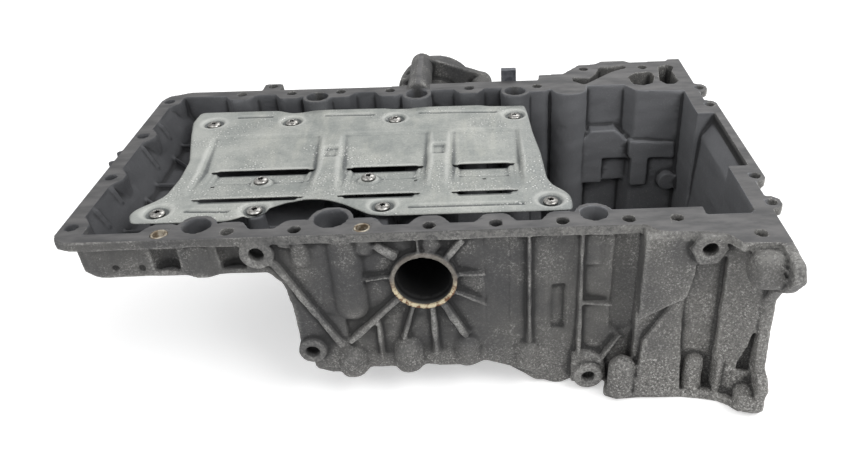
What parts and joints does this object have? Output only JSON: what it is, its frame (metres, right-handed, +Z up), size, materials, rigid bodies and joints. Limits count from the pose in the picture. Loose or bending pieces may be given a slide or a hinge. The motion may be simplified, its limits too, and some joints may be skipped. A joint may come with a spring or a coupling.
{
  "type": "engine oil pan",
  "caption": "Deep-sump cast oil pan with a block flange, a shaft tunnel across it and a slotted windage tray screwed inside.",
  "frame": {"origin": "on the block face, at the centre of the four block bolts that lie one and a half cylinder pitches to either side, midway between the two long bolt rows", "axes": "+X along the engine towards the gearbox end, +Y across it towards the side with the shaft's mounting disc, +Z up out of the block face into the engine block"},
  "size_m": [0.507, 0.3886, 0.161],
  "materials": {
    "casting": "oil-darkened sand-cast skin, machined faces worn grey",
    "tray": "dull zinc-coated pressed sheet with an oily film",
    "screw": "yellowed zinc, satin",
    "sleeve": "rust-stained steel",
    "clip": "spring steel, satin",
    "plug": "dark steel, satin",
    "washer": "soft bright metal"
  },
  "bodies": {
    "root": {"pan_casting": "casting", "windage_tray": "tray", "tray_edge_screws": "screw", "tray_middle_screws": "screw", "dowel_sleeves": "sleeve", "harness_clip": "clip", "drain_plug": "plug", "drain_washer": "washer"}
  },
  "joints": []
}
